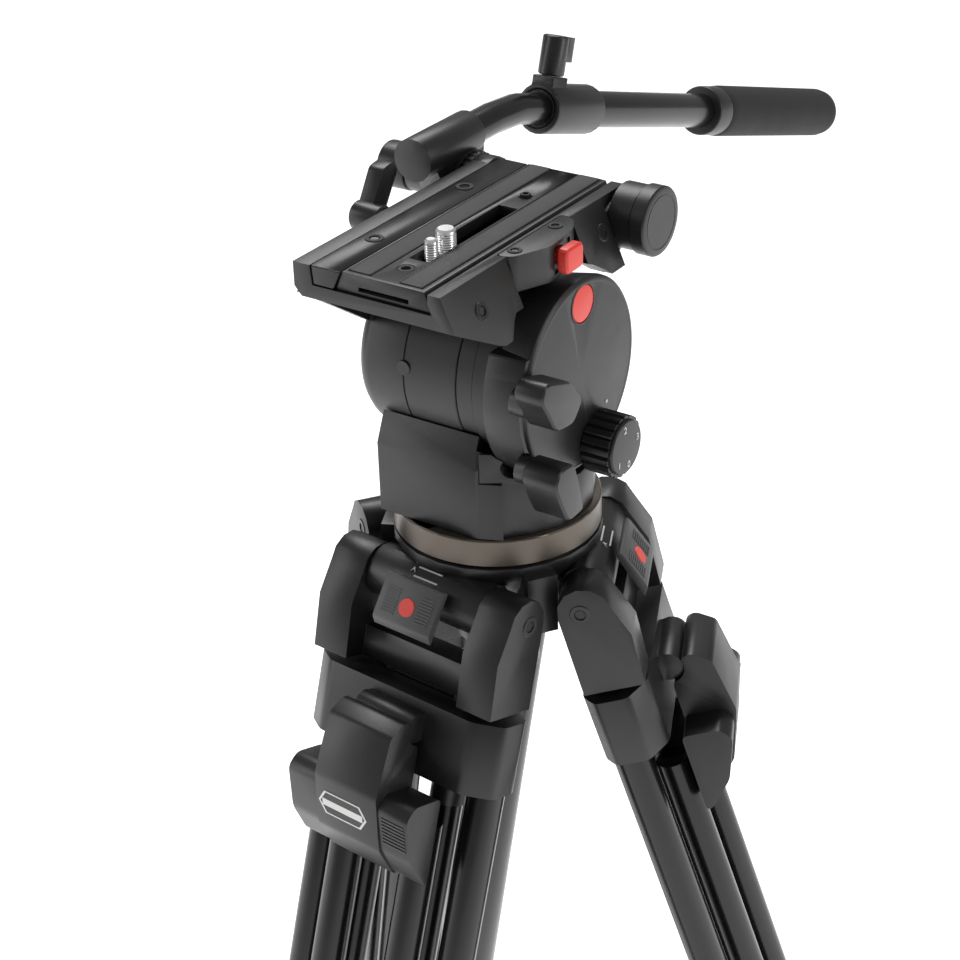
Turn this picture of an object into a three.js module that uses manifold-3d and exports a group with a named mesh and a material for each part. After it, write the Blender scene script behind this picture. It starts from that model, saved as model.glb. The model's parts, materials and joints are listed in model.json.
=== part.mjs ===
// Video tripod with a fluid head: a three-legged stand with side-by-side sliding tubes, a half-ball
// levelling bowl and a pan-and-tilt head with a sliding camera plate and a pan bar.
// Units are millimetres, +Z is up, +X is the disc side of the head, -Y is the lens side.
import * as THREE from "three";
import { mergeVertices } from "three/addons/utils/BufferGeometryUtils.js";
import Module from "manifold-3d";

// Driving dimensions
const LEG_SPREAD = THREE.MathUtils.degToRad(17.5); // legs from vertical at the first stop
const LEG_PLAN_ANGLES = [-95, 25, 145]; // degrees, seen from above
const LEG_PIVOT_RADIUS = 46;
const LEG_PIVOT_DROP = 34; // below the head's base plane
const LEG_LENGTH = 600; // leg pivot to foot pivot
const FOOT_PIVOT_HEIGHT = 30;
const BALL_RADIUS = 50; // 100 mm bowl
const TILT_AXIS_HEIGHT = 71.4; // above the base plane
const DRUM_RADIUS = 43.3;
const DISC_RADIUS = 46.7;
const FAIRING_RADIUS = 49.2; // where the side housing carries the lever shafts
const PLATE_TOP = 138.4; // above the base plane
const FRAME_FRONT = -83;
const FRAME_REAR = 65.6;
const ROSETTE = [61.5, 125.5]; // y, z of the pan bar rosettes
const BUTTON = [-3, 130]; // y, z of the red safety button
const BAR_SLOPE = THREE.MathUtils.degToRad(-17.5);
const GAP = 0.3; // between touching pieces

const PIVOT_HEIGHT = FOOT_PIVOT_HEIGHT + LEG_LENGTH * Math.cos(LEG_SPREAD);
const BASE_HEIGHT = PIVOT_HEIGHT + LEG_PIVOT_DROP;

// Offset that puts the origin on the floor under the middle of the object's box
const BOX_CENTRE = [6.1, 110.2];

const wasm = await Module();
wasm.setup();

const paint = (color, roughness, metalness) =>
  new THREE.MeshStandardMaterial({ color, roughness, metalness });
const BLACK = paint(0x2a2a2a, 0.55, 0.2);
const SATIN = paint(0x323232, 0.6, 0.1);
const TUBE = paint(0x161616, 0.25, 0.6);
const BALL = paint(0x4a443d, 0.4, 0.7);
const RUBBER = paint(0x1c1c1c, 0.9, 0);
const RED = paint(0xe63b2e, 0.45, 0);
const CHROME = paint(0xcfd2d4, 0.2, 1);
const GREY = paint(0x4c4d4e, 0.6, 0);

// ---- solids ----

function solid(geometry) {
  const bare = geometry.clone();
  bare.deleteAttribute("normal");
  bare.deleteAttribute("uv");
  const merged = mergeVertices(bare, 1e-4);
  return new wasm.Manifold(
    new wasm.Mesh({
      numProp: 3,
      vertProperties: merged.attributes.position.array,
      triVerts: new Uint32Array(merged.index.array),
    }),
  );
}

const join = (...solids) => solids.reduce((a, b) => a.add(b));
const cut = (body, ...tools) => tools.reduce((a, b) => a.subtract(b), body);

function mesh(name, body, material) {
  const data = body.getMesh();
  const geometry = new THREE.BufferGeometry();
  geometry.setAttribute("position", new THREE.BufferAttribute(data.vertProperties, 3));
  geometry.setIndex(new THREE.BufferAttribute(data.triVerts, 1));
  const made = new THREE.Mesh(geometry, material);
  made.name = name;
  return made;
}

// A box between two corners.
function box([x0, y0, z0], [x1, y1, z1]) {
  const g = new THREE.BoxGeometry(x1 - x0, y1 - y0, z1 - z0);
  return solid(g.translate((x0 + x1) / 2, (y0 + y1) / 2, (z0 + z1) / 2));
}

// A round bar along an axis from a to b, centred on c (the two other coordinates, in X, Y, Z order).
function rod(axis, a, b, c, r, { sides = 18, rEnd = r, edge = 0 } = {}) {
  const h = b - a;
  const profile = [
    [0, 0],
    ...(edge ? [[r - edge, 0], [r, edge]] : [[r, 0]]),
    ...(edge ? [[rEnd, h - edge], [rEnd - edge, h]] : [[rEnd, h]]),
    [0, h],
  ].map(([x, y]) => new THREE.Vector2(x, y));
  const g = new THREE.LatheGeometry(profile, sides); // turned about Y
  if (axis === "x") g.rotateZ(-Math.PI / 2).translate(a, c[0], c[1]);
  if (axis === "y") g.translate(c[0], a, c[1]);
  if (axis === "z") g.rotateX(Math.PI / 2).translate(c[0], c[1], a);
  return solid(g);
}

// A flat outline drawn in the plane across an axis and pushed along that axis from a to b.
function slab(axis, outline, a, b, bevel = 0) {
  const shape =
    outline instanceof THREE.Shape
      ? outline
      : new THREE.Shape(outline.map(([u, v]) => new THREE.Vector2(u, v)));
  const g = new THREE.ExtrudeGeometry(shape, {
    depth: b - a - 2 * bevel,
    bevelEnabled: bevel > 0,
    bevelThickness: bevel,
    bevelSize: bevel,
    bevelOffset: -bevel,
    bevelSegments: 1,
    curveSegments: 3,
  });
  if (axis === "x") g.translate(0, 0, a + bevel).rotateX(Math.PI / 2).rotateZ(Math.PI / 2);
  if (axis === "y") g.translate(0, 0, bevel - b).rotateX(Math.PI / 2);
  if (axis === "z") g.translate(0, 0, a + bevel);
  return solid(g);
}

// An outline of straight runs with every corner rounded, by less where a run is short.
function rounded(points, r) {
  const shape = new THREE.Shape();
  points.forEach(([u, v], i) => {
    const here = new THREE.Vector2(u, v);
    const before = new THREE.Vector2(...points.at(i - 1));
    const after = new THREE.Vector2(...points[(i + 1) % points.length]);
    const towards = (other) => {
      const run = other.sub(here);
      return here.clone().add(run.setLength(Math.min(r, run.length() / 2.1)));
    };
    const [start, end] = [towards(before), towards(after)];
    if (i) shape.lineTo(start.x, start.y);
    else shape.moveTo(start.x, start.y);
    shape.quadraticCurveTo(u, v, end.x, end.y);
  });
  return shape;
}

// A round tube along a path in the YZ plane.
function pipe(points, r, sides = 12) {
  const path = new THREE.CurvePath();
  const v = points.map(([x, y, z]) => new THREE.Vector3(x, y, z));
  const bend = new THREE.QuadraticBezierCurve3(v[1], v[2], v[3]);
  path.add(new THREE.LineCurve3(v[0], v[1]));
  path.add(bend);
  path.add(new THREE.LineCurve3(v[3], v[4]));
  const section = new THREE.Shape();
  for (let i = 0; i < sides; i++) {
    const a = (2 * Math.PI * i) / sides;
    if (i) section.lineTo(r * Math.cos(a), r * Math.sin(a));
    else section.moveTo(r, 0);
  }
  return solid(new THREE.ExtrudeGeometry(section, { extrudePath: path, steps: 12 }));
}

// ---- crown, bowl and half ball (base plane of the head at z = 0) ----

function crown() {
  const profile = [[0, -62], [22, -60], [34, -46], [42, -34], [47.5, -26], [50.4, -20], [50.4, -15.5], [0, -15.5]];
  const wall = new THREE.LatheGeometry(
    profile.map(([r, z]) => new THREE.Vector2(r, z)),
    24,
  ).rotateX(Math.PI / 2);
  let body = solid(wall);
  for (const angle of LEG_PLAN_ANGLES) {
    const turn = new THREE.Matrix4().makeRotationZ(THREE.MathUtils.degToRad(angle + 90));
    const barrel = new THREE.CylinderGeometry(13, 13, 2 * 33.4, 16)
      .rotateZ(Math.PI / 2)
      .translate(0, -LEG_PIVOT_RADIUS, -LEG_PIVOT_DROP);
    const web = new THREE.BoxGeometry(44, 26, 22).translate(0, -36, -LEG_PIVOT_DROP - 4);
    body = join(body, solid(barrel.applyMatrix4(turn)), solid(web.applyMatrix4(turn)));
    const lug = new THREE.BoxGeometry(15, 26, 30).translate(0, 43, -34);
    body = join(body, solid(lug.applyMatrix4(turn)));
  }
  const ball = solid(new THREE.SphereGeometry(BALL_RADIUS + 0.6, 24, 12));
  const top = box([-90, -90, -15.5], [90, 90, 20]);
  const throat = rod("z", -70, -40, [0, 0], 16);
  return mesh("crown_casting", cut(body, ball, top, throat), BLACK);
}

function halfBall() {
  const ball = solid(new THREE.SphereGeometry(BALL_RADIUS, 24, 12));
  const below = box([-60, -60, -52], [60, 60, -GAP]);
  const waist = ball.intersect(below);
  return mesh("half_ball", join(waist, rod("z", -76, -45, [0, 0], 6)), BALL);
}

function tieDownKnob() {
  const knob = rod("z", -100, -77, [0, 0], 19, { sides: 20, edge: 3 });
  const cup = rod("z", -77.2, -66, [0, 0], 22, { sides: 24 });
  return mesh("bowl_clamp_knob", cut(join(knob, cup), rod("z", -76.3, -60, [0, 0], 8)), BLACK);
}

// ---- pan base and fixed side housing ----

function baseBlock() {
  const outline = new THREE.Shape();
  outline.moveTo(-36, -45);
  outline.lineTo(19, -45);
  outline.lineTo(30, -40);
  outline.absarc(0, 0, 47, -0.93, 0.93, false);
  outline.lineTo(28, 40);
  outline.lineTo(-36, 45);
  const block = slab("z", outline, 0, 50);
  const bevel = slab("x", [[-60, 35], [-45.1, 35], [-34, 60], [-60, 60]], -60, 60);
  const rearBevel = slab("x", [[60, 35], [46, 35], [34, 60], [60, 60]], -60, 60);
  const cradle = rod("x", -60, 60, [0, TILT_AXIS_HEIGHT], DRUM_RADIUS + 0.8, { sides: 40 });
  const disc = rod("x", 17.2, 60, [0, TILT_AXIS_HEIGHT], FAIRING_RADIUS + 0.4, { sides: 40 });
  const pocket = box([20, -60, 29], [43.5, -24, 60]);
  return mesh("pan_base", cut(block, bevel, rearBevel, cradle, disc, pocket), SATIN);
}

function cornerInsert() {
  const block = slab("z", [[20.3, -44], [38, -34], [43, -24.3], [20.3, -24.3]], 29.3, 44);
  const hole = rod("y", -60, -30, [33.5, 37], 5);
  const disc = rod("x", 0, 60, [0, TILT_AXIS_HEIGHT], FAIRING_RADIUS + 0.4, { sides: 40 });
  return mesh("base_corner_insert", cut(block, disc, hole), SATIN);
}

function sideHousing() {
  const drum = rod("x", 17.3, 30, [0, TILT_AXIS_HEIGHT], DRUM_RADIUS, { sides: 40 });
  const disc = rod("x", 30, 47.4, [0, TILT_AXIS_HEIGHT], DISC_RADIUS - 3, {
    sides: 40,
    rEnd: DISC_RADIUS,
    edge: 2.5,
  });
  const front = box([0, -60, 28], [60, -22, 96]);
  const fairing = rod("x", 27, 46, [0, TILT_AXIS_HEIGHT], FAIRING_RADIUS, { sides: 40 }).intersect(front);
  const seats = join(
    rod("x", 44, 50, [-49, 80], 7.2),
    rod("x", 44, 50, [-46, 45], 7.2),
    rod("x", 44, 50, [13, 33.5], 6.2),
  );
  const badge = rod("x", 46.6, 60, [2, 106.5], 9.2);
  return mesh("side_housing", cut(join(drum, disc, fairing), seats, badge), SATIN);
}

const badgeDisc = () => mesh("round_badge", rod("x", 46.9, 47.5, [2, 106.5], 8.8, { sides: 24 }), RED);

// A lever grip pushed along X, with its shaft reaching into the housing.
function gripLever(name, outline, x0, x1, shaft) {
  const grip = slab("x", rounded(outline, 3.5), x0, x1, 1);
  return mesh(name, join(grip, rod("x", 44.5, x0 + 1, shaft, 6.6, { sides: 16 })), BLACK);
}

const tiltLockLever = () =>
  gripLever(
    "tilt_lock_lever",
    [[-62, 90], [-57, 96.5], [-38, 90], [-28, 77], [-36, 68], [-50, 70], [-57, 82]],
    51,
    66,
    [-49, 80],
  );
const panLockLever = () =>
  gripLever(
    "pan_lock_lever",
    [[-53, 54], [-58, 48], [-53, 36], [-47, 25], [-34, 26], [-38, 42], [-42, 53]],
    51.5,
    70,
    [-46, 45],
  );

function dragDial() {
  let knob = rod("x", 47.9, 64, [13, 33.5], 15, { sides: 36, edge: 1 });
  for (let i = 0; i < 12; i++) {
    const a = (2 * Math.PI * i) / 12;
    const at = [13 + 16.2 * Math.cos(a), 33.5 + 16.2 * Math.sin(a)];
    knob = cut(knob, rod("x", 47, 61.5, at, 2.6, { sides: 6 }));
  }
  return mesh("drag_dial", join(knob, rod("x", 44.6, 49, [13, 33.5], 5.8, { sides: 16 })), BLACK);
}

const centreBand = () =>
  mesh(
    "centre_band",
    rod("x", 8.3, 17, [0, TILT_AXIS_HEIGHT], DRUM_RADIUS - 0.4, { sides: 40 }),
    SATIN,
  );

// ---- tilting platform ----

function tiltDrum() {
  const drum = rod("x", -49, 8, [0, TILT_AXIS_HEIGHT], DRUM_RADIUS, { sides: 40, edge: 5 });
  return mesh("tilt_drum", drum, SATIN);
}

function platform() {
  const section = [
    [-46.8, PLATE_TOP], [-46.8, 127], [-43, 122.8], [32.6, 122.8], [30.4, PLATE_TOP],
    [22.3, PLATE_TOP], [25.9, 129.2], [-36.9, 129.2], [-37.8, PLATE_TOP],
  ];
  const frame = slab("y", section, FRAME_FRONT, FRAME_REAR);
  const saddle = box([-40, -34, 100], [6, 34, 124]);
  const web = slab("x", [[-82.5, 124], [-36, 92], [-30, 92], [-20, 124]], -46.6, -42);
  const slope = [[24, 124], [30.4, PLATE_TOP], [43.6, 108], [38, 108], [30, 119]];
  const frontCut = slab("x", [[-90, 122.8], [-83, 122.8], [-58, 109.4], [-30, 100], [-90, 90]], 0, 60);
  const frontCheek = cut(slab("y", slope, FRAME_FRONT, -34), frontCut);
  const rearCheek = slab("y", slope, 19.4, 45.4);
  const cheek = join(frontCheek, rearCheek);
  const arm = rounded([[22, 124], [64, 137.5], [76, 132], [76, 118], [62, 110.5], [46, 101], [30, 112]], 4);
  const rightArm = slab("x", arm, 26.2, 33);
  const leftArm = slab("x", arm, -46.6, -38.2);
  const boss = rod("x", -46.6, -38.2, ROSETTE, 14);
  const drumRoom = rod("x", -60, 60, [0, TILT_AXIS_HEIGHT], DRUM_RADIUS + GAP, { sides: 40 });
  const discRoom = rod("x", 8, 60, [0, TILT_AXIS_HEIGHT], FAIRING_RADIUS + 0.8, { sides: 40 });
  const leverRoom = rod("x", 29, 60, [0, TILT_AXIS_HEIGHT], 61, { sides: 40 }).intersect(box([29, -90, 60], [60, -30, 117]));
  const channel = box([-36.8, -100, 129.2], [24, 100, 150]);
  const leverHole = rod("x", -50, -36, [-12, 131], 4.4, { sides: 16 });
  const lockRoom = lockOutline(0.4);
  const room = slab("z", lockRoom, 121.2, 150);
  return mesh(
    "platform_frame",
    cut(join(frame, saddle, web, cheek, rightArm, leftArm, boss), drumRoom, discRoom, leverRoom, channel, leverHole, room),
    BLACK,
  );
}

function lockOutline(grow) {
  const x = 25.9 - grow;
  return rounded(
    [[x, -34 - grow], [33 + grow, -32 - grow], [41 + grow, -14], [39 + grow, 8], [33 + grow, 18 + grow], [x, 19 + grow]],
    3,
  );
}

function lockHousing() {
  const body = slab("z", lockOutline(0), 121.5, PLATE_TOP);
  const dovetail = slab("y", [[22, 150], [22.3, PLATE_TOP], [25.9, 129.2], [22, 129.2]], -60, 60);
  const bore = rod("x", 31, 60, BUTTON, 4.4);
  const recess = box([38.4, BUTTON[0] - 7.5, BUTTON[1] - 6.6], [60, BUTTON[0] + 7.5, BUTTON[1] + 6.6]);
  return mesh("plate_lock_housing", cut(body, dovetail, bore, recess), BLACK);
}

function redButton() {
  const [y, z] = BUTTON;
  const cap = rounded([[y - 7, z - 6], [y + 7, z - 6], [y + 7, z + 6], [y - 7, z + 6]], 3);
  return mesh("safety_button", join(rod("x", 33, 42, BUTTON, 4), slab("x", cap, 41.2, 47, 1)), RED);
}

const clampWedge = () =>
  mesh(
    "clamp_rail",
    slab(
      "y",
      [[-37.4, PLATE_TOP], [-36.5, 129.6], [-25.7, 129.6], [-21.7, PLATE_TOP]],
      FRAME_FRONT + 0.2,
      FRAME_REAR - 0.2,
    ),
    BLACK,
  );

function plateLockLever() {
  return mesh(
    "plate_lock_lever",
    join(
      rod("x", -62, -38, [-12, 131], 4, { sides: 16 }),
      rod("x", -66, -50, [-12, 131], 7, { sides: 20, edge: 1 }),
      slab("x", rounded([[-18, 128], [-8, 124], [8, 148], [5, 153], [-3, 152]], 2), -64, -56),
    ),
    BLACK,
  );
}

const leftRosette = () =>
  mesh("rosette", serrated(-51.2, -46.9, 15, 24), BLACK);

// A disc with a ring of teeth round its face.
function serrated(x0, x1, r, teeth) {
  const outline = new THREE.Shape();
  for (let i = 0; i < 2 * teeth; i++) {
    const a = (Math.PI * i) / teeth;
    const q = i % 2 ? r : r - 1.2;
    const [u, v] = [ROSETTE[0] + q * Math.cos(a), ROSETTE[1] + q * Math.sin(a)];
    if (i) outline.lineTo(u, v);
    else outline.moveTo(u, v);
  }
  return slab("x", outline, x0, x1);
}

function rosetteCap() {
  const back = rod("x", 33.3, 45, ROSETTE, 15.6, { sides: 28 });
  const face = rod("x", 45, 53, ROSETTE, 16.6, { sides: 28, edge: 1 });
  return mesh("rosette_cap", join(back, face), BLACK);
}

// ---- sliding camera plate ----

function slidingPlate() {
  const section = [[-24.6, 129.6], [24.6, 129.6], [24.5, 130.6], [21.3, PLATE_TOP], [-21.3, PLATE_TOP], [-24.5, 130.6]];
  const plate = slab("y", section, -81.5, 65.2);
  const grooves = [-14, 12.75].map((x) => box([x - 6.1, -79, PLATE_TOP - 1.4], [x + 6.1, 65, 150]));
  const slot = box([-5.1, -55, 120], [5.1, 15.3, 150]);
  const underside = box([-8.5, -60, 120], [8.5, 22, 133.4]);
  const mouth = box([-13, -90, 131], [13, -77, 133]);
  const pinHole = box([-2.6, 27, 132], [2.6, 32, 150]);
  const screwHole = rod("z", 132, 150, [0, -64.5], 4);
  return mesh("sliding_plate", cut(plate, ...grooves, slot, underside, mouth, pinHole, screwHole), BLACK);
}

function plateScrew(name, y, r, height) {
  const shank = rod("z", 133.6, height, [0, y], r, { sides: 12, edge: 0.6 });
  return mesh(name, join(shank, rod("z", 130, 133, [0, y], r + 1.3, { sides: 12 }), rod("z", 132, 134, [0, y], r, { sides: 12 })), CHROME);
}

const pad = (name, x) =>
  mesh(name, box([x - 5.8, -78.7, PLATE_TOP - 1.1], [x + 5.8, 64.7, PLATE_TOP + 0.5]), RUBBER);

// ---- pan bar ----

const BAR_X = -62;
const BAR_START = 30;
const BAR_Z = 144.5;
const BEND = 112;

function barPoint(distance) {
  return [BAR_X, BEND + distance * Math.cos(BAR_SLOPE), BAR_Z + distance * Math.sin(BAR_SLOPE)];
}

// A round piece along the sloping part of the bar, from a to b past the bend.
function alongBar(a, b, r, options) {
  const body = rod("y", a, b, [0, 0], r, options);
  const m = new THREE.Matrix4().makeTranslation(BAR_X, BEND, BAR_Z).multiply(new THREE.Matrix4().makeRotationX(BAR_SLOPE));
  return body.transform(m.elements);
}

function barBracket() {
  const disc = rod("x", -56, -51.6, ROSETTE, 15, { sides: 24 });
  const block = slab("x", rounded([[48, 118], [75, 118], [78, 140], [64, 152], [36, 152], [36, 140]], 4), -70, -55);
  const knuckle = rod("x", -84, -55, ROSETTE, 11, { sides: 20 });
  const sleeve = rod("y", BAR_START - 2, 74, [BAR_X, BAR_Z], 10.6, { sides: 20 });
  const bore = rod("y", BAR_START, 80, [BAR_X, BAR_Z], 8.4, { sides: 20 });
  return mesh("bar_bracket", cut(join(disc, block, knuckle, sleeve), bore), BLACK);
}

function frontBar() {
  const tube = pipe([[BAR_X, BAR_START + 0.5, BAR_Z], [BAR_X, 98, BAR_Z], [BAR_X, BEND, BAR_Z], barPoint(14), barPoint(175)], 8);
  return mesh("pan_bar_front", tube, TUBE);
}

const rosetteKnob = () =>
  mesh("bar_clamp_knob", rod("x", -101, -84.4, ROSETTE, 11.5, { sides: 20, edge: 1.5 }), BLACK);

function rearBar() {
  const tube = alongBar(26, 220, 9.6, { sides: 20 });
  return mesh("pan_bar_rear", cut(tube, alongBar(20, 190, 8.4, { sides: 16 })), TUBE);
}

function barCollar() {
  const collar = alongBar(26, 74, 13, { sides: 24, edge: 1 });
  const m = new THREE.Matrix4().makeTranslation(BAR_X, BEND, BAR_Z).multiply(new THREE.Matrix4().makeRotationX(BAR_SLOPE));
  const ear = box([-6.5, 27, 6], [6.5, 41, 16.5]).transform(m.elements);
  return mesh("bar_collar", cut(join(collar, ear), alongBar(20, 80, 9.9, { sides: 20 })), BLACK);
}

function wingKnob() {
  const m = new THREE.Matrix4().makeTranslation(BAR_X, BEND, BAR_Z).multiply(new THREE.Matrix4().makeRotationX(BAR_SLOPE));
  const hub = rod("z", 17, 37, [0, 34], 6.8, { sides: 16, edge: 0.8 });
  const wing = box([-3, 34, 24], [3, 48, 36.5]);
  return mesh("bar_wing_knob", join(hub, wing).transform(m.elements), BLACK);
}

const gripCollar = () => mesh("grip_collar", cut(alongBar(206, 222, 14, { sides: 24, edge: 1 }), alongBar(200, 230, 9.9)), BLACK);
function foamGrip() {
  const grip = alongBar(222.3, 374, 14.6, { sides: 24, edge: 4 });
  return mesh("foam_grip", grip, RUBBER);
}

// ---- legs: drawn with the pivot at the origin, X along the pivot, -Y outwards and -Z down the leg ----

const TUBE_BACK = 3; // tube plane behind the pivot
const OUTER = { x: 45, y: TUBE_BACK, r: 9 };
const UPPER = { x: 21, y: TUBE_BACK + 4.5, r: 7.5 };
const LOWER = { x: 22, y: TUBE_BACK - 12.5, r: 8.6 };
const BRACKET_TOP = -536;
const SIDES = [-1, 1];

const post = (tube, side, z0, z1, grow = 0, sides = 14) =>
  rod("z", z0, z1, [side * tube.x, tube.y], tube.r + grow, { sides });

function yoke(name) {
  const arms = SIDES.map((side) => {
    const [a, b] = side < 0 ? [-54.5, -34] : [34, 54.5];
    const outline = new THREE.Shape();
    outline.absarc(-2, 0, 13, 0, Math.PI, false);
    outline.lineTo(-20, -16);
    outline.lineTo(-18, -43.5);
    outline.lineTo(12, -43.5);
    return slab("x", outline, a, b);
  });
  const bridge = box([-36, -6, -43.5], [36, 12, -28]);
  return mesh(name, join(...arms, bridge), BLACK);
}

function selector(name) {
  const tab = slab("x", rounded([[-18, 7], [-25, -14], [-22, -19], [-15, 6]], 1.5), -17, 17);
  return mesh(name, tab, GREY);
}

function upperTubes(name) {
  const tie = box([-30, UPPER.y - 7, -47.4], [30, UPPER.y + 7, -43.9]);
  return mesh(name, join(tie, ...SIDES.map((s) => post(UPPER, s, -530, -45))), TUBE);
}

function collar(name) {
  const plan = rounded([[-57, -8], [-44, -17], [44, -17], [57, -8], [57, 8], [48, 15], [-48, 15], [-57, 8]], 3);
  const body = slab("z", plan, -84, -47.8);
  const barrel = rod("x", -17, 17, [-21, -60], 7.5, { sides: 20 });
  const barrelNeck = box([-17, -22, -67], [17, -16, -53]);
  const stubs = SIDES.map((s) => rod("z", -101, -83, [s * UPPER.x, UPPER.y], 9.3, { sides: 20 }));
  const bores = SIDES.map((s) => post(UPPER, s, -120, 0, 0.35));
  const sockets = SIDES.map((s) => post(OUTER, s, -120, -60, GAP));
  return mesh(name, cut(join(body, barrel, barrelNeck, ...stubs), ...bores, ...sockets), BLACK);
}

function outerTubes(name) {
  const plan = rounded([[-57, -20], [57, -20], [57, 16], [-57, 16]], 6);
  const bracket = slab("z", plan, BRACKET_TOP - 30, BRACKET_TOP);
  const body = join(bracket, ...SIDES.map((s) => post(OUTER, s, BRACKET_TOP - 2, -60.4)));
  return mesh(name, cut(body, ...SIDES.map((s) => post(LOWER, s, -600, -500, 0.35))), TUBE);
}

function lockLever(name) {
  const side = rounded([[-29.5, -55], [-34, -54], [-43, -60], [-47, -90], [-38, -118], [-24, -133], [-21, -133], [-21, -70]], 2);
  const body = slab("x", side, -19, 19);
  const wide = slab("x", rounded([[-21, -88], [-40, -88], [-45, -94], [-37, -117], [-24, -132], [-21, -132]], 3), -37, 37);
  const room = rod("x", -40, 40, [-21, -60], 8, { sides: 20 });
  const slotRoom = box([-17.6, -23, -68.5], [17.6, 0, -40]);
  return mesh(name, cut(join(body, wide), room, slotRoom), SATIN);
}

function lowerTubes(name) {
  const tie = box([-22, LOWER.y - 6, -118], [22, LOWER.y + 6, -108]);
  return mesh(name, join(tie, ...SIDES.map((s) => post(LOWER, s, -577, -108))), TUBE);
}

function footBlock(name) {
  const plan = rounded([[-36, -20], [36, -20], [36, 6], [-36, 6]], 6);
  const block = slab("z", plan, -588, -568);
  const fork = SIDES.map((s) => box([s * 14.5 - 4, -10, -606], [s * 14.5 + 4, 10, -586]));
  const sockets = SIDES.map((s) => post(LOWER, s, -577.3, -560, GAP));
  return mesh(name, cut(join(block, ...fork), ...sockets), BLACK);
}

function foot(name) {
  const profile = [[0, -FOOT_PIVOT_HEIGHT], [24, -FOOT_PIVOT_HEIGHT], [26, -27], [20, -17], [10, -13], [0, -13]];
  const pad = new THREE.LatheGeometry(profile.map(([r, z]) => new THREE.Vector2(r, z)), 24);
  const stem = box([-10, -8, -15], [10, 8, 4]);
  return mesh(name, join(solid(pad.rotateX(Math.PI / 2)), stem), RUBBER);
}

function leg(number, planAngle) {
  const name = (piece) => `leg_${number}_${piece}`;
  const spread = new THREE.Group();
  spread.position.set(0, -LEG_PIVOT_RADIUS, PIVOT_HEIGHT);
  spread.rotation.x = -LEG_SPREAD;
  const pieces = { yoke, selector, upper_tubes: upperTubes, collar, outer_tubes: outerTubes };
  Object.assign(pieces, { lock_lever: lockLever, lower_tubes: lowerTubes, foot_block: footBlock });
  for (const [piece, make] of Object.entries(pieces)) spread.add(make(name(piece)));
  const shoe = foot(name("foot"));
  const reach = LEG_PIVOT_RADIUS + LEG_LENGTH * Math.sin(LEG_SPREAD);
  shoe.position.set(0, -reach, FOOT_PIVOT_HEIGHT);
  const group = new THREE.Group();
  group.rotation.z = THREE.MathUtils.degToRad(planAngle + 90);
  group.add(spread, shoe);
  return group;
}

// ---- assembly ----

const head = new THREE.Group();
head.position.z = BASE_HEIGHT;
head.add(
  crown(), halfBall(), tieDownKnob(),
  baseBlock(), cornerInsert(), sideHousing(), badgeDisc(), centreBand(),
  tiltLockLever(), panLockLever(), dragDial(),
  tiltDrum(), platform(), clampWedge(), lockHousing(), redButton(), plateLockLever(), leftRosette(), rosetteCap(),
  slidingPlate(), pad("pad_left", -14), pad("pad_right", 12.75),
  plateScrew("camera_screw_small", -45.6, 3.1, 145), plateScrew("camera_screw_large", -34.3, 4.7, 146),
  barBracket(), frontBar(), rosetteKnob(), rearBar(), barCollar(), wingKnob(), gripCollar(), foamGrip(),
);

const tripod = new THREE.Group();
tripod.name = "tripod_with_fluid_head";
tripod.position.set(-BOX_CENTRE[0], -BOX_CENTRE[1], 0);
tripod.add(head);
LEG_PLAN_ANGLES.forEach((angle, i) => tripod.add(leg(i + 1, angle)));

export default tripod;
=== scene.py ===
import json
import math

import bmesh
import bpy
from mathutils import Matrix, Vector


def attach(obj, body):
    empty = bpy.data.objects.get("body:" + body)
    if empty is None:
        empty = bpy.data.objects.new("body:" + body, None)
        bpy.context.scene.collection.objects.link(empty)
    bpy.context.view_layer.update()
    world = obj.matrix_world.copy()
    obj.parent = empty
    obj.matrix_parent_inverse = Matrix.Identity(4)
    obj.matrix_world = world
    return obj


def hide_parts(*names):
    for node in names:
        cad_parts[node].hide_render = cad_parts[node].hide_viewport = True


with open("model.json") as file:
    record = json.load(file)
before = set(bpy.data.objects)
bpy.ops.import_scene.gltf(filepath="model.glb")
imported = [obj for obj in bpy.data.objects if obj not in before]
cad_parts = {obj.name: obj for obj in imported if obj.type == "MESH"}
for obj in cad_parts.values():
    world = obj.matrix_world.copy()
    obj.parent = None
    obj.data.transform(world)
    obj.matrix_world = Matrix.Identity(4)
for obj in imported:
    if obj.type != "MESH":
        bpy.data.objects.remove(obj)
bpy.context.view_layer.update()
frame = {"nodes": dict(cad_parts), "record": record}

# Driving dimensions, in millimetres, shared with the CAD part
LEG_SPREAD = math.radians(17.5)
LEG_PLAN_ANGLES = (-95, 25, 145)
LEG_PIVOT_RADIUS = 46
LEG_PIVOT_DROP = 34
LEG_LENGTH = 600
FOOT_PIVOT_HEIGHT = 30
TILT_AXIS = (0, 71.4)
DRUM_RADIUS = 43.3
DISC_RADIUS = 46.7
PLATE_TOP = 138.4
ROSETTE = (61.5, 125.5)
BAR_X = -62
BAR_Z = 144.5
BAR_BEND = 112
BAR_SLOPE = math.radians(-17.5)
BOX_CENTRE = (6.1, 110.2)
PIVOT_HEIGHT = FOOT_PIVOT_HEIGHT + LEG_LENGTH * math.cos(LEG_SPREAD)
BASE_HEIGHT = PIVOT_HEIGHT + LEG_PIVOT_DROP

TO_METRES = Matrix.Scale(0.001, 4)
ROW = TO_METRES @ Matrix.Translation((-BOX_CENTRE[0], -BOX_CENTRE[1], 0))
HEAD = ROW @ Matrix.Translation((0, 0, BASE_HEIGHT))
BAR = HEAD @ Matrix.Translation((BAR_X, BAR_BEND, BAR_Z)) @ Matrix.Rotation(BAR_SLOPE, 4, "X")


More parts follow.
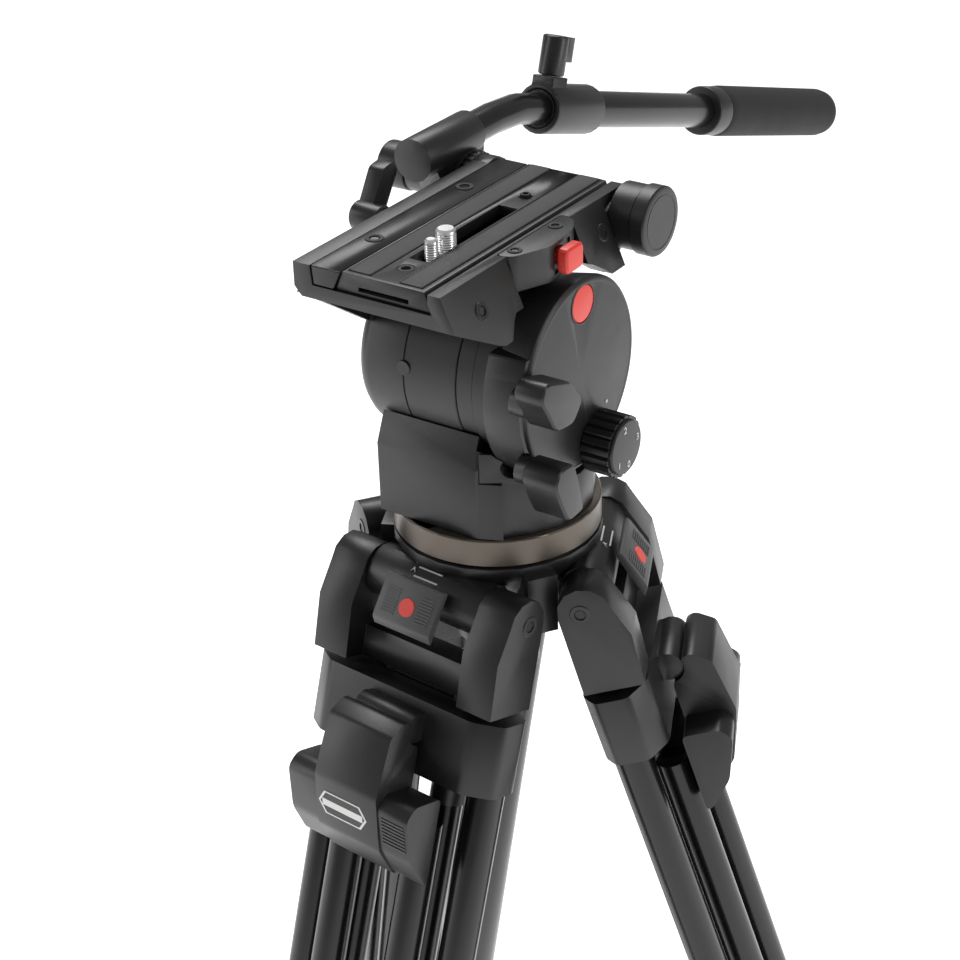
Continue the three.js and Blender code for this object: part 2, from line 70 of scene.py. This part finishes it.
def leg_matrix(plan_angle):
    turn = Matrix.Rotation(math.radians(plan_angle + 90), 4, "Z")
    pivot = Matrix.Translation((0, -LEG_PIVOT_RADIUS, PIVOT_HEIGHT))
    return ROW @ turn @ pivot @ Matrix.Rotation(-LEG_SPREAD, 4, "X")


# ---- materials ----


def finish_material(name, color, roughness, metallic=0.0, grain=0.0, grain_size=0.0006, wear=0.0):
    """A painted, moulded or metal surface with a fine grain and slightly uneven gloss."""
    m = bpy.data.materials.new(name)
    m.use_nodes = True
    nodes, links = m.node_tree.nodes, m.node_tree.links
    shader = nodes["Principled BSDF"]
    shader.inputs["Base Color"].default_value = (*color, 1)
    shader.inputs["Metallic"].default_value = metallic
    where = nodes.new("ShaderNodeTexCoord").outputs["Object"]
    patches = nodes.new("ShaderNodeTexNoise")
    patches.inputs["Scale"].default_value = 60
    patches.inputs["Detail"].default_value = 6
    links.new(where, patches.inputs["Vector"])
    gloss = nodes.new("ShaderNodeMapRange")
    gloss.inputs["To Min"].default_value = roughness - 0.06
    gloss.inputs["To Max"].default_value = roughness + 0.08
    links.new(patches.outputs["Fac"], gloss.inputs["Value"])
    links.new(gloss.outputs["Result"], shader.inputs["Roughness"])
    if wear:
        tint = nodes.new("ShaderNodeMix")
        tint.data_type = "RGBA"
        tint.inputs["A"].default_value = (*color, 1)
        tint.inputs["B"].default_value = (*(c * (1 + wear) for c in color), 1)
        links.new(patches.outputs["Fac"], tint.inputs["Factor"])
        links.new(tint.outputs["Result"], shader.inputs["Base Color"])
    if grain:
        speckle = nodes.new("ShaderNodeTexNoise")
        speckle.inputs["Scale"].default_value = 1 / grain_size
        speckle.inputs["Detail"].default_value = 2
        links.new(where, speckle.inputs["Vector"])
        bump = nodes.new("ShaderNodeBump")
        bump.inputs["Strength"].default_value = grain
        bump.inputs["Distance"].default_value = 0.0002
        links.new(speckle.outputs["Fac"], bump.inputs["Height"])
        links.new(bump.outputs["Normal"], shader.inputs["Normal"])
    return m


MATERIALS = {
    "cast_black": finish_material("cast_black", (0.012, 0.012, 0.0125), 0.36, grain=0.3),
    "ball_metal": finish_material(
        "ball_metal", (0.10, 0.085, 0.072), 0.34, metallic=0.8, grain=0.1, wear=0.5
    ),
    "housing": finish_material("housing", (0.012, 0.012, 0.0125), 0.38, grain=0.35),
    "knob_black": finish_material("knob_black", (0.011, 0.011, 0.0115), 0.34, grain=0.2),
    "red_plastic": finish_material("red_plastic", (0.74, 0.045, 0.03), 0.38),
    "pad_rubber": finish_material(
        "pad_rubber", (0.014, 0.014, 0.014), 0.55, grain=0.9, grain_size=0.0009
    ),
    "chrome_screw": finish_material("chrome_screw", (0.9, 0.9, 0.91), 0.3, metallic=1.0),
    "tube_black": finish_material("tube_black", (0.006, 0.006, 0.0065), 0.22),
    "foam": finish_material("foam", (0.012, 0.012, 0.012), 0.8, grain=1.0, grain_size=0.0012),
    "stop_grey": finish_material("stop_grey", (0.07, 0.071, 0.073), 0.45, grain=0.3),
    "lever_plastic": finish_material("lever_plastic", (0.013, 0.013, 0.0135), 0.36, grain=0.3),
    "foot_rubber": finish_material("foot_rubber", (0.02, 0.02, 0.02), 0.7, grain=0.6),
}
WHITE = finish_material("white_print", (0.75, 0.75, 0.74), 0.6)
# Socket floors: a darker, rougher black than the screw heads, as painted shade in the hexagon recess
SOCKET_PAINTED_SHADE = finish_material("recess_painted_shade", (0.006, 0.006, 0.006), 0.7)


# ---- modelling helpers ----


def piece(name, bm, matrix, body, slot, replaces=(), bevel=0.0, material=None, smooth=True):
    """Makes an object from a mesh drawn in millimetres, in the frame of the matrix."""
    mesh = bpy.data.meshes.new(name)
    bmesh.ops.recalc_face_normals(bm, faces=bm.faces)
    bm.to_mesh(mesh)
    bm.free()
    mesh.transform(matrix)
    if smooth:
        mesh.shade_smooth()
        mesh.set_sharp_from_angle(angle=math.radians(35))
    made = bpy.data.objects.new(name, mesh)
    bpy.context.scene.collection.objects.link(made)
    made.data.materials.append(material or MATERIALS[slot])
    if bevel:
        soften(made, bevel)
    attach(made, body)
    if replaces:
        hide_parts(*replaces)
    return made


def soften(obj, width_mm, segments=3):
    """Rounds the sharp edges by a small radius and keeps the flat faces flat."""
    b = obj.modifiers.new("soft_edges", "BEVEL")
    b.width = width_mm / 1000
    b.segments = segments
    b.limit_method = "ANGLE"
    b.angle_limit = math.radians(32)
    b.harden_normals = True
    b.use_clamp_overlap = True


def lathe(bm, axis, centre, profile, segments=96, ring=False):
    """A turned body: profile is a list of (distance along the axis, radius). A ring has no end faces."""
    rings = []
    for along, radius in profile:
        loop = []
        for i in range(segments):
            a = 2 * math.pi * i / segments
            u, v = radius * math.cos(a), radius * math.sin(a)
            at = {
                "x": (along, centre[0] + u, centre[1] + v),
                "y": (centre[0] + u, along, centre[1] + v),
                "z": (centre[0] + u, centre[1] + v, along),
            }[axis]
            loop.append(bm.verts.new(at))
        rings.append(loop)
    for low, high in zip(rings, rings[1:] + rings[:1] if ring else rings[1:]):
        for i in range(segments):
            j = (i + 1) % segments
            bm.faces.new((low[i], low[j], high[j], high[i]))
    if not ring:
        bm.faces.new(rings[0])
        bm.faces.new(rings[-1])
    return bm


def rod_profile(a, b, r, edge=0.8):
    """A straight round bar with rounded ends."""
    steps = 5
    start = [(a + edge * (1 - math.sin(t)), r - edge * (1 - math.cos(t))) for t in arc(steps)]
    return start[::-1] + [(a + b - along, radius) for along, radius in start]


def arc(steps):
    """Evenly spaced angles over a quarter turn."""
    return [math.pi / 2 * i / steps for i in range(steps + 1)]


def prism(bm, axis, outline, a, b):
    """A flat outline pushed along an axis from a to b."""
    def at(u, v, w):
        return {"x": (w, u, v), "y": (u, w, v), "z": (u, v, w)}[axis]

    low = [bm.verts.new(at(u, v, a)) for u, v in outline]
    high = [bm.verts.new(at(u, v, b)) for u, v in outline]
    bm.faces.new(low)
    bm.faces.new(high)
    count = len(outline)
    for i in range(count):
        j = (i + 1) % count
        bm.faces.new((low[i], low[j], high[j], high[i]))
    return bm


def new():
    return bmesh.new()


# ---- every CAD node gets its finish, welded facets and soft edges ----

SLOTS = {s["node"]: s["material_slot"] for s in frame["record"]["subparts"]}
WELD_DISTANCE = 0.00001
EDGE_RADIUS = 0.8
for node, obj in frame["nodes"].items():
    obj.data.materials.clear()
    obj.data.materials.append(MATERIALS[SLOTS[node]])
    for polygon in obj.data.polygons:
        polygon.use_smooth = True
    weld = obj.modifiers.new("weld", "WELD")
    weld.merge_threshold = WELD_DISTANCE
    soften(obj, EDGE_RADIUS)

# ---- turned parts of the head: outlines are (distance along the axis, radius) ----

LOWER_BALL = [(-49, 6), (-46, 18), (-40, 30), (-30, 40), (-20, 45.8), (-14, 48)]
BALL_RING = [(-13.6, 49.9), (-1, 49.9), (-0.3, 49.2)]
DRUM_END = [(-49, 33), (-48.4, 36.5), (-46, 40.5), (-43, 42.6), (-40, DRUM_RADIUS)]
DRUM_SEAM = [(-20.6, DRUM_RADIUS), (-20.4, 42.8), (-19.8, 42.8), (-19.6, DRUM_RADIUS)]
DRUM_INNER_END = [(7.6, DRUM_RADIUS), (8, 42.9)]
BAND = [(8.3, 42.6), (8.6, 42.9), (16.7, 42.9), (17, 42.6)]
CAP_BACK = [(33.3, 15.6), (44.6, 15.6), (44.8, 15.2), (45.2, 15.2)]
CAP_FRONT = [(45.5, 16.6), (52, 16.6), (52.7, 16.1), (53, 15.2)]
CAP_CIRCLE = [(53, 13.2), (52.8, 13), (52.8, 12.6), (53, 12.4)]

ball = lathe(new(), "z", (0, 0), LOWER_BALL + BALL_RING)
piece("half_ball_ring", ball, HEAD, "half_ball", "ball_metal")
drum = lathe(new(), "x", TILT_AXIS, DRUM_END + DRUM_SEAM + DRUM_INNER_END)
piece("tilt_drum_skin", drum, HEAD, "tilt_platform", "housing", ["tilt_drum"])
band = lathe(new(), "x", TILT_AXIS, BAND)
piece("centre_band_skin", band, HEAD, "pan_base", "housing", ["centre_band"])
cap = lathe(new(), "x", ROSETTE, CAP_BACK + CAP_FRONT + CAP_CIRCLE)
piece("rosette_cap_skin", cap, HEAD, "tilt_platform", "cast_black", ["rosette_cap"])
knob = lathe(new(), "x", ROSETTE, rod_profile(-101, -84.4, 11.5, 1.6))
piece("bar_clamp_knob_skin", knob, HEAD, "bar_clamp", "knob_black", ["bar_clamp_knob"])

# ---- pan bar ----

GRIP_START = [(222.3, 13.6), (224, 14.4), (228, 14.6)]
GRIP_END = [(362, 14.6), (368, 13.8), (372, 11.4), (373.6, 8), (374, 4)]

rear = lathe(new(), "y", (0, 0), rod_profile(26, 220, 9.6, 0.5))
piece("pan_bar_rear_skin", rear, BAR, "rear_bar", "tube_black", ["pan_bar_rear"])
collar = lathe(new(), "y", (0, 0), rod_profile(206, 222, 14, 1.2))
piece("grip_collar_skin", collar, BAR, "rear_bar", "cast_black", ["grip_collar"])
grip = lathe(new(), "y", (0, 0), GRIP_START + GRIP_END)
piece("foam_grip_skin", grip, BAR, "rear_bar", "foam", ["foam_grip"])

# ---- socket screws ----

HEXAGON_ANGLES = [math.pi / 3 * i for i in range(6)]
SCREW_DEPTH = 1.5  # how far a head goes into its seat
SOCKET_RATIO = 0.5  # socket radius to head radius
UPWARD = Matrix.Rotation(math.radians(-90), 4, "Y")
CHEEK_SLANT = math.radians(-23.5)
CHEEK_FACE = (36.1, 125.2)  # x, z of the screws in the slanted cheeks
RAIL_SCREW_RADIUS = 4.4
LOCK_SCREW_RADIUS = 3.4


def socket_screw(name, matrix, radius, body, top=0.5):
    """A countersunk screw head with a hexagon socket, looking along +X of its matrix."""
    edge = [(-SCREW_DEPTH, radius), (top - 0.3, radius), (top, radius - 0.3), (top, radius * 0.56)]
    head = lathe(new(), "x", (0, 0), edge, 48, ring=True)
    piece(name, head, matrix, body, "cast_black")
    reach = radius * SOCKET_RATIO
    socket = [(reach * math.cos(a), reach * math.sin(a)) for a in HEXAGON_ANGLES]
    bottom = prism(new(), "x", socket, -1.4, -0.6)
    # The socket floor takes the darker black: painted shade in the recess
    piece(name + "_socket", bottom, matrix, body, "cast_black", material=SOCKET_PAINTED_SHADE)
    taper = [(-SCREW_DEPTH, radius * 0.6), (top, radius * 0.56), (-0.6, radius * 0.46)]
    wall = lathe(new(), "x", (0, 0), taper, len(HEXAGON_ANGLES), ring=True)
    piece(name + "_socket_wall", wall, matrix, body, "cast_black", smooth=False)


for name, x, y, radius in (
    ("rail_screw_front", -30.7, -45.3, RAIL_SCREW_RADIUS),
    ("rail_screw_rear", -31, 25.5, RAIL_SCREW_RADIUS),
    ("lock_screw_front", 30, -25.6, LOCK_SCREW_RADIUS),
    ("lock_screw_rear", 30.4, 6.6, LOCK_SCREW_RADIUS),
):
    seat = HEAD @ Matrix.Translation((x, y, PLATE_TOP)) @ UPWARD
    socket_screw(name, seat, radius, "tilt_platform")
plate_seat = HEAD @ Matrix.Translation((0, -64.5, PLATE_TOP - 0.6)) @ UPWARD
socket_screw("plate_front_screw", plate_seat, 3.9, "camera_plate")
peg_seat = HEAD @ Matrix.Translation((0, 29.5, PLATE_TOP)) @ UPWARD
socket_screw("plate_peg", peg_seat, 2.5, "camera_plate", top=1.6)
for name, y in (("cheek_screw_front", -61), ("cheek_screw_rear", 38)):
    place = Matrix.Translation((CHEEK_FACE[0], y, CHEEK_FACE[1]))
    seat = HEAD @ place @ Matrix.Rotation(CHEEK_SLANT, 4, "Y")
    socket_screw(name, seat, 4.2, "tilt_platform")

# ---- rims, badge edge, index dot and drum plug ----

RIM_SIDE = [(30, 40), (30, 44.3), (44, 46.8), (46, 46.7)]
RIM_FACE = [(47.2, 45.6), (47.55, 44.2), (47.3, 43)]
SIDE_DRUM = [(17.3, 43.5), (29.9, 43.5), (29.9, 42), (17.3, 42)]
BADGE = (2, 106.5)
BADGE_EDGE = [(46.9, 8.7), (47.6, 9.1), (47.6, 9.7), (46.9, 9.8)]
INDEX = (22.3, 49.2)
PLUG = (-20, 77)

rim = lathe(new(), "x", TILT_AXIS, RIM_SIDE + RIM_FACE, 128, ring=True)
piece("disc_rim", rim, HEAD, "pan_base", "housing")
side_drum = lathe(new(), "x", TILT_AXIS, SIDE_DRUM, 128, ring=True)
piece("side_drum_skin", side_drum, HEAD, "pan_base", "housing")
badge_edge = lathe(new(), "x", BADGE, BADGE_EDGE, 64, ring=True)
piece("badge_edge", badge_edge, HEAD, "pan_base", "housing")
index_dot = lathe(new(), "x", INDEX, [(47.3, 0.9), (47.55, 0.9)], 24)
piece("index_dot", index_dot, HEAD, "pan_base", "housing", material=WHITE)
plug = lathe(new(), "y", PLUG, [(-DRUM_RADIUS - 0.15, 3.6), (-40, 3.8)], 32)
piece("drum_plug", plug, HEAD, "tilt_platform", "housing", bevel=0.3)

# ---- drag dial: a fluted knob with its numbers ----

DIAL = (13, 33.5)
DIAL_RADIUS = 15
DIAL_FACE = 64
DIAL_FLUTES = 20
FLUTE_DEPTH = 1.3
DIGIT_RADIUS = 9.5
DIGIT_HEIGHT = 5


def fluted(a, b, radius, depth):
    outline = []
    steps = DIAL_FLUTES * 8
    for i in range(steps):
        t = 2 * math.pi * i / steps
        r = radius - depth * max(0.0, math.cos(DIAL_FLUTES * t)) ** 3
        outline.append((DIAL[0] + r * math.cos(t), DIAL[1] + r * math.sin(t)))
    return prism(new(), "x", outline, a, b)


def dial_digit(digit, degrees):
    """A raised white number on the dial's face, upright when the dial is at rest."""
    curve = bpy.data.curves.new("dial_digit_" + digit, "FONT")
    curve.body = digit
    curve.size = DIGIT_HEIGHT
    curve.extrude = 0.05
    curve.align_x = "CENTER"
    curve.align_y = "CENTER"
    text = bpy.data.objects.new("dial_digit_" + digit, curve)
    text.data.materials.append(WHITE)
    bpy.context.scene.collection.objects.link(text)
    a = math.radians(degrees)
    y = DIAL[0] + DIGIT_RADIUS * math.cos(a)
    z = DIAL[1] + DIGIT_RADIUS * math.sin(a)
    facing_x = Matrix(((0, 0, 1, DIAL_FACE + 0.1), (1, 0, 0, y), (0, 1, 0, z), (0, 0, 0, 1)))
    text.matrix_world = HEAD @ facing_x
    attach(text, "drag_dial")


dial = fluted(48, 62.2, DIAL_RADIUS, FLUTE_DEPTH)
lathe(dial, "x", DIAL, [(62.2, 13.4), (63.2, 13.4), (63.9, 12.8), (DIAL_FACE, 12)])
lathe(dial, "x", DIAL, [(44.8, 5.8), (48, 5.8)])
piece("drag_dial_skin", dial, HEAD, "drag_dial", "knob_black", ["drag_dial"])
for digit, degrees in (("0", -80), ("1", -135), ("2", 100), ("3", 10)):
    dial_digit(digit, degrees)

# ---- camera screws with their threads ----

THREAD_PITCH = 1.1
THREAD_DEPTH = 0.35
THREAD_START = 133.6


def thread(y, r, top):
    profile = [(130, r + 1.3), (133, r + 1.3), (133.1, r - 0.3)]
    z = THREAD_START
    while z + THREAD_PITCH < top - 1:
        profile += [(z, r - THREAD_DEPTH), (z + THREAD_PITCH * 0.5, r)]
        z += THREAD_PITCH
    profile += [(top - 0.9, r - 0.2), (top, r - 1.2)]
    return lathe(new(), "z", (0, y), profile, 48)


def camera_screw(name, body, node, screw):
    piece(name, screw, HEAD, body, "chrome_screw", [node])


camera_screw("small_screw_thread", "small_screw", "camera_screw_small", thread(-45.6, 3.1, 145))
camera_screw("large_screw_thread", "large_screw", "camera_screw_large", thread(-34.3, 4.7, 146))

# ---- legs: each drawn with its pivot at the origin and -Z down the leg ----

OUTER = (45, 3, 9)  # x, y and radius of each pair of tubes
UPPER = (21, 7.5, 7.5)
LOWER = (22, -9.5, 8.6)
UPPER_TIE = [(-30, 0.5), (30, 0.5), (30, 14.5), (-30, 14.5)]
LOWER_TIE = [(-22, -15.5), (22, -15.5), (22, -3.5), (-22, -3.5)]
BRACKET_FRONT = [(-57, -17), (-54, -20), (54, -20), (57, -17)]
BRACKET_BACK = [(57, 13), (54, 16), (-54, 16), (-57, 13)]
TAB_SLOPE = math.atan2(-7, 21)
TAB_MIDDLE = (0, -21.6, -3.5)
TAB_RIBS = 9
TAB_RIB_PITCH = 1.5
LEVER_RIBS = 8
LEVER_RIB_PITCH = 2
ARM_FACE = 54.5
BARREL_SKIN = (-13.1, -12.6)
LABEL_OUTLINE = [(-15, 0), (-11, 6.5), (11, 6.5), (15, 0), (11, -6.5), (-11, -6.5)]
LABEL_STRIPE = [(-12.5, -1.9), (12.5, -1.9), (12.5, 1.9), (-12.5, 1.9)]
# The two sloping faces of the lock lever: the middle of each, and its slope in Y and Z
LABEL_FACE = Matrix(((1, 0, 0, -2.5), (0, -0.306, -0.952, -42.5), (0, 0.952, -0.306, -104), (0, 0, 0, 1)))
RIB_FACE = Matrix(((1, 0, 0, 28), (0, -0.328, -0.944, -41), (0, 0.944, -0.328, -105.5), (0, 0, 0, 1)))


def pair(tube, a, b):
    bm = new()
    for side in (-1, 1):
        lathe(bm, "z", (side * tube[0], tube[1]), rod_profile(a, b, tube[2], 0.4), 64)
    return bm


def leg_tubes(leg, here):
    upper = prism(pair(UPPER, -530, -45), "z", UPPER_TIE, -47.4, -43.9)
    piece(leg + "_upper_tube_skin", upper, here, leg + "_upper", "tube_black", [leg + "_upper_tubes"])
    outer = prism(pair(OUTER, -538, -60.4), "z", BRACKET_FRONT + BRACKET_BACK, -566, -536)
    outer_node = [leg + "_outer_tubes"]
    piece(leg + "_outer_tube_skin", outer, here, leg + "_middle", "tube_black", outer_node, bevel=0.8)
    lower = prism(pair(LOWER, -577, -108), "z", LOWER_TIE, -118, -108)
    piece(leg + "_lower_tube_skin", lower, here, leg + "_lower", "tube_black", [leg + "_lower_tubes"])


def selector_details(leg, here):
    """The red dot and the two ribbed finger pads on the spread stop."""
    tab = here @ Matrix.Translation(TAB_MIDDLE) @ Matrix.Rotation(TAB_SLOPE, 4, "X")
    dot = lathe(new(), "y", (0, -2), [(-0.3, 4.2), (0.1, 4.5)], 48)
    piece(leg + "_stop_dot", dot, tab, leg + "_stop", "red_plastic")
    for i in range(TAB_RIBS):
        low = -7.4 + i * TAB_RIB_PITCH
        high = low + 0.6
        rib = prism(new(), "z", [(6, -0.25), (14, -0.25), (14, 0.3), (6, 0.3)], low, high)
        prism(rib, "z", [(-14, -0.25), (-6, -0.25), (-6, 0.3), (-14, 0.3)], low, high)
        piece(f"{leg}_stop_rib_{i}", rib, tab, leg + "_stop", "stop_grey")


def angle_marks(leg, here):
    """A line and an arrow for each spread angle, on the crown's barrel."""
    for i, lift in enumerate((30, 52)):
        spot = here @ Matrix.Rotation(math.radians(-lift), 4, "X")
        mark = prism(new(), "y", [(-7, -0.4), (7, -0.4), (7, 0.4), (-7, 0.4)], *BARREL_SKIN)
        prism(mark, "y", [(-10, 1.5), (-8.6, 4.2), (-7.2, 1.5), (-8.6, 3)], *BARREL_SKIN)
        piece(f"{leg}_angle_mark_{i}", mark, spot, "crown", "cast_black", material=WHITE)


def lever_details(leg, here):
    """A plain white label shape and a ribbed pad on the lock lever."""
    face = here @ LABEL_FACE
    lock = leg + "_lock"
    border = prism(new(), "z", LABEL_OUTLINE, -0.3, 0.25)
    piece(leg + "_label", border, face, lock, "lever_plastic", material=WHITE)
    field = prism(new(), "z", [(0.92 * x, 0.88 * y) for x, y in LABEL_OUTLINE], -0.3, 0.32)
    piece(leg + "_label_field", field, face, lock, "lever_plastic")
    stripe = prism(new(), "z", LABEL_STRIPE, -0.3, 0.38)
    piece(leg + "_label_stripe", stripe, face, lock, "lever_plastic", material=WHITE)
    ribs = new()
    for i in range(LEVER_RIBS):
        low = -7 + LEVER_RIB_PITCH * i
        high = low + 0.8
        prism(ribs, "z", [(-7, low), (7, low), (7, high), (-7, high)], -0.3, 0.4)
    piece(leg + "_lever_ribs", ribs, here @ RIB_FACE, lock, "lever_plastic")


def pivot_screws(leg, here):
    left = here @ Matrix.Translation((-ARM_FACE, 0, 0)) @ Matrix.Rotation(math.pi, 4, "Z")
    socket_screw(leg + "_pivot_screw_left", left, 5, leg + "_upper")
    right = here @ Matrix.Translation((ARM_FACE, 0, 0))
    socket_screw(leg + "_pivot_screw_right", right, 5, leg + "_upper")


for number, plan_angle in enumerate(LEG_PLAN_ANGLES, start=1):
    for add in (leg_tubes, selector_details, angle_marks, lever_details, pivot_screws):
        add(f"leg_{number}", leg_matrix(plan_angle))

# ---- stage and light ----


def pale_floor():
    bm = new()
    bmesh.ops.create_grid(bm, x_segments=1, y_segments=1, size=6)
    data = bpy.data.meshes.new("floor")
    bm.to_mesh(data)
    bm.free()
    made = bpy.data.objects.new("floor", data)
    white = finish_material("studio_white", (0.9, 0.9, 0.9), 0.8)
    shader = white.node_tree.nodes["Principled BSDF"]
    shader.inputs["Emission Color"].default_value = (1, 1, 1, 1)
    shader.inputs["Emission Strength"].default_value = 0.8
    made.data.materials.append(white)
    bpy.context.scene.collection.objects.link(made)
    return made


def softbox(name, place, target, size, power):
    data = bpy.data.lights.new(name, "AREA")
    data.shape = "RECTANGLE"
    data.size, data.size_y = size
    data.energy = power
    lamp = bpy.data.objects.new(name, data)
    lamp.location = place
    lamp.rotation_euler = (target - Vector(place)).to_track_quat("-Z", "Y").to_euler()
    bpy.context.scene.collection.objects.link(lamp)


pale_floor()
world = bpy.data.worlds.new("studio")
bpy.context.scene.world = world
world.use_nodes = True
sky = world.node_tree.nodes["Background"]
sky.inputs["Color"].default_value = (1, 1, 1, 1)
sky.inputs["Strength"].default_value = 0.3
bpy.context.scene.view_settings.view_transform = "Standard"
aim = Vector((0, -0.1, 0.7))
softbox("key", (-0.7, 0.7, 2.3), aim, (1.4, 1.0), 30)
softbox("side", (1.9, 0.3, 1.2), aim, (0.6, 1.6), 14)
softbox("left", (-1.6, -1.3, 1.1), aim, (0.5, 1.6), 9)

# ---- camera: in front of the head, to its right and above it ----

CAMERA_TURN = math.radians(34.74)  # from straight ahead towards the disc side
CAMERA_RISE = math.radians(29.01)
CAMERA_ROLL = math.radians(-1.8)
CAMERA_DISTANCE = 1046.91  # from the head's base, in millimetres
CAMERA_SHIFT = (-8.18, 3.81)  # right and up, so that the base is a little off the middle


def camera_matrix():
    back = Vector((0, -math.cos(CAMERA_RISE), math.sin(CAMERA_RISE)))
    back.rotate(Matrix.Rotation(CAMERA_TURN, 3, "Z"))
    level = Vector((math.cos(CAMERA_TURN), math.sin(CAMERA_TURN), 0))
    upright = back.cross(level)
    right = level * math.cos(CAMERA_ROLL) + upright * math.sin(CAMERA_ROLL)
    up = back.cross(right)
    eye = HEAD @ (back * CAMERA_DISTANCE + right * CAMERA_SHIFT[0] + up * CAMERA_SHIFT[1])
    return Matrix.Translation(eye) @ Matrix((right, up, back)).transposed().to_4x4()


camera = bpy.data.cameras.new("camera")
camera.sensor_width = 36
camera.lens = 82.2
camera.clip_end = 30
view = bpy.data.objects.new("camera", camera)
view.matrix_world = camera_matrix()
bpy.context.scene.collection.objects.link(view)
bpy.context.scene.camera = view
